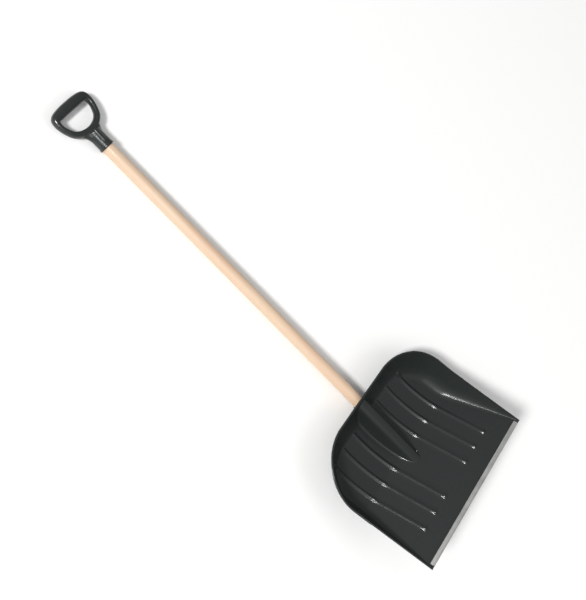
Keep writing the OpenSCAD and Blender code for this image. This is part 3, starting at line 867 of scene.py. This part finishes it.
shaftRod = {
    "Diameter": tool["shaftDiameter"],
    "Chamfer": 1.5,
    "Start": -45.0,
    "End": bendY + socket["pastBend"] - 1,
}
tree, given, out = newTree("chamferedRod", {
    "Diameter": "Float", "Chamfer": "Float", "Start": "Float", "End": "Float", "Material": "Material"})
workOut(tree, given, [
    ("radius", "MULTIPLY", "Diameter", 0.5),
    ("length", "SUBTRACT", "End", "Start"),
    ("twice", "MULTIPLY", "Chamfer", 2.0),
    ("straight", "SUBTRACT", "length", "twice"),
    ("small", "SUBTRACT", "radius", "Chamfer"),
    ("shrink", "DIVIDE", "small", "radius"),
    ("bothEnds", "ADD", "Start", "End"),
    ("middle", "MULTIPLY", "bothEnds", 0.5)])
rod = addNode(tree, "GeometryNodeMeshCylinder", {
    "Vertices": 128, "Side Segments": 96, "Radius": given["radius"], "Depth": given["straight"]})
ends = addNode(tree, "FunctionNodeBooleanMath", {
    0: rod.outputs["Top"], 1: rod.outputs["Bottom"]}, operation="OR").outputs[0]
drawnOut = addNode(tree, "GeometryNodeExtrudeMesh", {
    "Mesh": rod.outputs["Mesh"], "Selection": ends, "Offset Scale": given["Chamfer"]}, mode="FACES")
narrowed = addNode(tree, "GeometryNodeScaleElements", {
    "Geometry": drawnOut.outputs["Mesh"], "Selection": drawnOut.outputs["Top"],
    "Scale": given["shrink"]}).outputs[0]
middle = addNode(tree, "ShaderNodeCombineXYZ", {1: given["middle"]}).outputs[0]
turned = addNode(tree, "GeometryNodeTransform", {
    "Geometry": narrowed, "Translation": middle, "Rotation": (-math.pi / 2, 0, 0)}).outputs[0]
closeTree(tree, turned, given["Material"], out)
shaft = treePiece("shaftRod", tree, shaftRod, wood)
cut(shaft, screwHole("shaftHoleFront", bladeScrewY), screwHole("shaftHoleBack", -screws["gripScrewDepth"]))
finish(shaft, "shaft")


dGrip = {
    "width": 124.0,
    "armWidth": 14.0,
    "armThickness": 20.0,
    "yoke": 57.0,  # mouth to the middle of the yoke
    "socketDepth": 46.0,
    "squareness": 0.85,
    "voxel": 0.8,
    "meltSteps": 8,
}


def loopKeys(grip):  # [x, y, half width in the plane of the loop, half thickness]
    armX = grip["width"] / 2 - grip["armWidth"] / 2
    armA, armH = grip["armWidth"] / 2, grip["armThickness"] / 2

    def drop(t):  # from the yoke at 0 to the bar at 1
        return -grip["yoke"] - (barY - grip["yoke"]) * t

    half = [
        (0, -barY, barRadius, barRadius),
        (0.45 * armX, -barY + 0.4, barRadius - 0.4, barRadius - 0.4),
        (0.84 * armX, -barY + 2.6, barRadius - 2.4, barRadius - 1.6),
        (armX - 1.6, drop(0.84), armA + 1.6, armH + 1),
        (armX - 0.8, drop(0.64), armA, armH),
        (0.9 * armX, drop(0.42), armA, armH),
        (0.73 * armX, drop(0.2), armA + 0.8, armH + 0.5),
        (0.42 * armX, drop(0.055), armA + 1.5, armH + 1.5),
        (0, drop(0), armA + 1.5, armH + 2.5)]
    return np.array(half + [(-x, y, w, h) for x, y, w, h in half[-2:0:-1]])


def makeLoop(grip, steps=12, sides=36):
    keys = loopKeys(grip)
    count = len(keys)
    path = []
    for i in range(count):
        p = [keys[(i + k) % count] for k in (-1, 0, 1, 2)]
        for s in range(steps):
            t = s / steps
            path.append(0.5 * (2 * p[1] + t * (p[2] - p[0])
                               + t * t * (2 * p[0] - 5 * p[1] + 4 * p[2] - p[3])
                               + t ** 3 * (3 * p[1] - p[0] - 3 * p[2] + p[3])))
    path = np.array(path)
    heading = np.roll(path, -1, axis=0)[:, :2] - np.roll(path, 1, axis=0)[:, :2]
    heading /= np.linalg.norm(heading, axis=1, keepdims=True)
    angles = np.arange(sides) * 2 * math.pi / sides
    w, h = (path[:, c:c + 1] * (np.sign(v) * np.abs(v) ** grip["squareness"])[None, :]
            for c, v in ((2, np.cos(angles)), (3, np.sin(angles))))
    points = np.stack([path[:, 0:1] - heading[:, 1:2] * w, path[:, 1:2] + heading[:, 0:1] * w, h], axis=-1)
    total = len(path)
    faces = [(i * sides + k, ((i + 1) % total) * sides + k, ((i + 1) % total) * sides + (k + 1) % sides,
              i * sides + (k + 1) % sides) for i in range(total) for k in range(sides)]
    return points.reshape(-1, 3), faces


def makeYoke(grip, rows=16, sides=64):
    armX = grip["width"] / 2 - grip["armWidth"] / 2
    armH = grip["armThickness"] / 2
    y0, y1 = -grip["yoke"] - 4, -22
    end = tubeRadius - 0.2
    points = []
    for j in range(rows + 1):
        t = j / rows
        w = end + (0.66 * armX - end) * (1 - t) ** 2.2
        h = armH + 2 + (end - armH - 2) * t ** 1.2
        for k in range(sides):
            a = 2 * math.pi * k / sides
            points.append((w * math.cos(a), y0 + (y1 - y0) * t, h * math.sin(a)))
    return points, tubeFaces(rows + 1, sides)


def makeGrip(grip):
    depth = grip["socketDepth"]
    lip = tool["lipLength"]
    parts = [
        newPiece("gripLoop", *makeLoop(grip)),
        newPiece("gripYoke", *makeYoke(grip)),
        tubePiece("gripSocket", [(-depth - 2, tubeRadius), (-lip - 3, tubeRadius),
                                 (-lip, lipRadius), (0, lipRadius)]),
    ]
    spine = [(x, y, z) for z in (tubeRadius - 4, tubeRadius + 1)
             for x, y in ((-3.5, -depth - 6), (3.5, -depth - 6), (3.5, -14), (-3.5, -14))]
    parts.append(newPiece("gripSpine", spine, [(3, 2, 1, 0), (4, 5, 6, 7), (0, 1, 5, 4), (1, 2, 6, 5),
                                               (2, 3, 7, 6), (3, 0, 4, 7)]))
    form = bmesh.new()
    for part in parts:
        form.from_mesh(part.data)
        bpy.data.meshes.remove(part.data)
    mesh = bpy.data.meshes.new("dGrip")
    form.to_mesh(mesh)
    form.free()
    piece = linkObject("dGrip", mesh)
    # Melted into one skin, so that every junction gets a moulded fillet
    melt = piece.modifiers.new("melt", "REMESH")
    melt.mode = "VOXEL"
    melt.voxel_size = grip["voxel"]
    ease = piece.modifiers.new("ease", "SMOOTH")
    ease.factor = 0.5
    ease.iterations = grip["meltSteps"]
    settle(piece)
    piece.data.materials.append(plastic)
    # The mouth is cut square again after the melting
    mouth = tubePiece("mouthCutter", [(-0.05, lipRadius + 4), (6, lipRadius + 4)])
    socketBore = tubePiece("gripBore", [(-depth, boreRadius), (3, boreRadius)], 128)
    cut(piece, mouth, socketBore, screwHole("gripScrewHole", -screws["gripScrewDepth"]))
    return piece


grip = makeGrip(dGrip)
finish(grip, "grip", sharpAngle=50.0)


tree, given, out = newTree("countersunkScrew", {
    "Head": "Float", "Shank": "Float", "Length": "Float", "Pitch": "Float", "Recess": "Float",
    "Sink": "Float", "Material": "Material"})
workOut(tree, given, [
    ("headR", "MULTIPLY", "Head", 0.5),
    ("shankR", "MULTIPLY", "Shank", 0.5),
    ("coreR", "MULTIPLY", "shankR", 0.76),
    ("recessDepth", "MULTIPLY", "Sink", 1.5),
    ("pointLength", "MULTIPLY", "Shank", 1.1),
    ("toPoint", "SUBTRACT", "Length", "pointLength"),
    ("coreStart", "MULTIPLY", "Sink", 0.8),
    ("coreLength", "SUBTRACT", "toPoint", "coreStart"),
    ("threadStart", "ADD", "Sink", 2.0),
    ("threadLength", "SUBTRACT", "toPoint", "threadStart"),
    ("threadTurns", "DIVIDE", "threadLength", "Pitch"),
    ("threadR", "ADD", "shankR", -0.45)])
cone, core, tip = (
    addNode(tree, "GeometryNodeMeshCone", {
        "Vertices": sides, "Radius Top": top, "Radius Bottom": bottom, "Depth": depth}).outputs[0]
    for sides, top, bottom, depth in (
        (64, given["coreR"], given["headR"], given["Sink"]),
        (32, given["coreR"], given["coreR"], given["coreLength"]),
        (32, 0.3, given["coreR"], given["pointLength"])))
# A cross recess: two slots at right angles, cut from the head
slim = 1.2
cross = addNode(tree, "GeometryNodeMeshBoolean", operation="UNION", solver="EXACT")
for wide, deep in ((given["Recess"], slim), (slim, given["Recess"])):
    size = addNode(tree, "ShaderNodeCombineXYZ", {0: wide, 1: deep, 2: given["recessDepth"]}).outputs[0]
    slot = addNode(tree, "GeometryNodeMeshCube", {"Size": size}).outputs[0]
    tree.links.new(slot, cross.inputs["Mesh 2"])
head = addNode(tree, "GeometryNodeMeshBoolean", {
    "Mesh 1": cone, "Mesh 2": cross.outputs[0]}, operation="DIFFERENCE", solver="EXACT").outputs[0]
helix = addNode(tree, "GeometryNodeCurveSpiral", {
    "Resolution": 32, "Rotations": given["threadTurns"], "Start Radius": given["threadR"],
    "End Radius": given["threadR"], "Height": given["threadLength"]}).outputs[0]
ridge = addNode(tree, "GeometryNodeCurvePrimitiveCircle", {"Resolution": 4, "Radius": 0.4}).outputs[0]
thread = addNode(tree, "GeometryNodeCurveToMesh", {
    "Curve": helix, "Profile Curve": ridge, "Fill Caps": True}).outputs[0]
joined = addNode(tree, "GeometryNodeJoinGeometry")
for part, start in ((thread, "threadStart"), (tip, "toPoint"), (core, "coreStart")):
    lift = addNode(tree, "ShaderNodeCombineXYZ", {2: given[start]}).outputs[0]
    placed = addNode(tree, "GeometryNodeTransform", {"Geometry": part, "Translation": lift}).outputs[0]
    tree.links.new(placed, joined.inputs[0])
tree.links.new(head, joined.inputs[0])
closeTree(tree, joined.outputs[0], given["Material"], out)

for name, node, y in (("bladeScrew", "blade_screw", bladeScrewY),
                      ("gripScrew", "grip_screw", -screws["gripScrewDepth"])):
    screw = treePiece(name, tree, {**screws, "Sink": sink}, zinc)
    screw.data.transform(Matrix.Translation(screwPlace(y)))
    finish(screw, node, sharpAngle=30.0)


studio = {
    "floorColour": "#fcfcfb",
    "worldColour": "#ffffff",
    "worldStrength": 0.35,
}
# Each light: where it comes from, metres away, metres wide, how bright its face is,
# and whether it lights what is matt and shows in what is glossy
lights = {
    "keyLight": ((0.66, -0.36, 0.66), 16.0, 2.9, 106.0, True, False),
    "fillLight": ((-0.15, 0.72, 0.68), 12.0, 9.0, 1.5, True, False),
    "sidePanel": ((0.66, -0.06, 0.70), 9.0, 7.0, 0.7, True, True),
    "glintLight": ((0.52, -0.56, 0.64), 3.0, 0.74, 64.0, False, True),  # bright spots on the ribs
    "edgePanel": ((-0.22, -0.67, 0.70), 6.0, 3.0, 0.27, False, True),  # sheen on the wear edge
}
camera = {
    "place": (1277.3, 38.0, 2207.9),
    "right": (-0.53565, 0.68205, 0.49788),
    "down": (0.67276, 0.70103, -0.23655),
    "focalLength": 62.667,
    "sensor": 36.0,  # along the picture's longer side
}

# Matt paper sweep: a very pale grey with a faint tooth
paper, tree, shader, spot = newMaterial("mattPaperFloor")
tooth = addNode(tree, "ShaderNodeTexNoise", {"Vector": spot, "Scale": 1 / 12, "Detail": 2}).outputs[0]
tone = addNode(tree, "ShaderNodeMapRange", {
    "Value": tooth, "To Min": 0.86, "To Max": 0.94}).outputs[0]
tree.links.new(tone, shader.inputs["Roughness"])
shader.inputs["Base Color"].default_value = linear(studio["floorColour"])
floorHalf = 12.0  # metres
floorMesh = bpy.data.meshes.new("paperFloor")
floorMesh.from_pydata([(-floorHalf, -floorHalf, 0), (floorHalf, -floorHalf, 0),
                       (floorHalf, floorHalf, 0), (-floorHalf, floorHalf, 0)], [], [(0, 1, 2, 3)])
floorMesh.materials.append(paper)
linkObject("paperFloor", floorMesh)

world = bpy.data.worlds.new("softStudio")
bpy.context.scene.world = world
world.use_nodes = True
backdrop = world.node_tree.nodes["Background"]
backdrop.inputs["Color"].default_value = linear(studio["worldColour"])
backdrop.inputs["Strength"].default_value = studio["worldStrength"]

toolMiddle = lay @ Vector((0, 560, 0))
bladeMiddle = lay @ Vector((0, 1080, 20))
for name, (direction, distance, size, radiance, onMatt, onGloss) in lights.items():
    lamp = bpy.data.lights.new(name, "AREA")
    lamp.shape = "DISK"
    lamp.size = size
    lamp.energy = radiance * math.pi * math.pi * (size / 2) ** 2
    holder = linkObject(name, lamp)
    heading = (layTurn @ Vector(direction)).normalized()
    holder.location = (toolMiddle if name == "keyLight" else bladeMiddle) + heading * distance
    holder.rotation_euler = heading.to_track_quat("Z", "Y").to_euler()
    holder.visible_diffuse = onMatt
    holder.visible_glossy = onGloss

lens = bpy.data.cameras.new("camera")
lens.sensor_width = camera["sensor"]
lens.lens = camera["focalLength"]
lens.clip_end = 50.0
eye = linkObject("camera", lens)
right = Vector(camera["right"]).normalized()
down = Vector(camera["down"])
down = (down - right * down.dot(right)).normalized()
forward = right.cross(down)
turn = Matrix((right, -down, -forward)).transposed().to_4x4()
eye.matrix_world = Matrix.Translation(lay @ Vector(camera["place"])) @ layTurn @ turn
bpy.context.scene.camera = eye
bpy.context.scene.view_settings.view_transform = "Standard"
print("studio ready")
